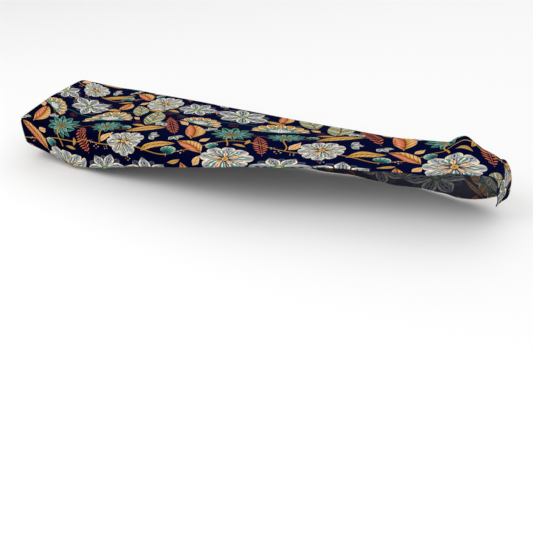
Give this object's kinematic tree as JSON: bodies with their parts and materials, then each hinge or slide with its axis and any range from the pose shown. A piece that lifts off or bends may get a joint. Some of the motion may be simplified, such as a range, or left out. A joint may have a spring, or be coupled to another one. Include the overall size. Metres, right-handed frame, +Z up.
{
  "type": "piano keyboard cover",
  "caption": "Stretch cloth dust cover for a full-length stage piano, shown pulled on and drawn back at the front right so that the keys show.",
  "frame": {"origin": "underside of the top cloth over the middle of the keyboard, where the instrument holds the cover up", "axes": "+X along the keyboard to the player's right, +Y towards its back, +Z up"},
  "size_m": [1.3599, 0.3176, 0.1892],
  "materials": {
    "printed_knit": "matt stretch knit, dark blue ground with a dense floral print"
  },
  "bodies": {
    "root": {"cover": "printed_knit"}
  },
  "joints": []
}
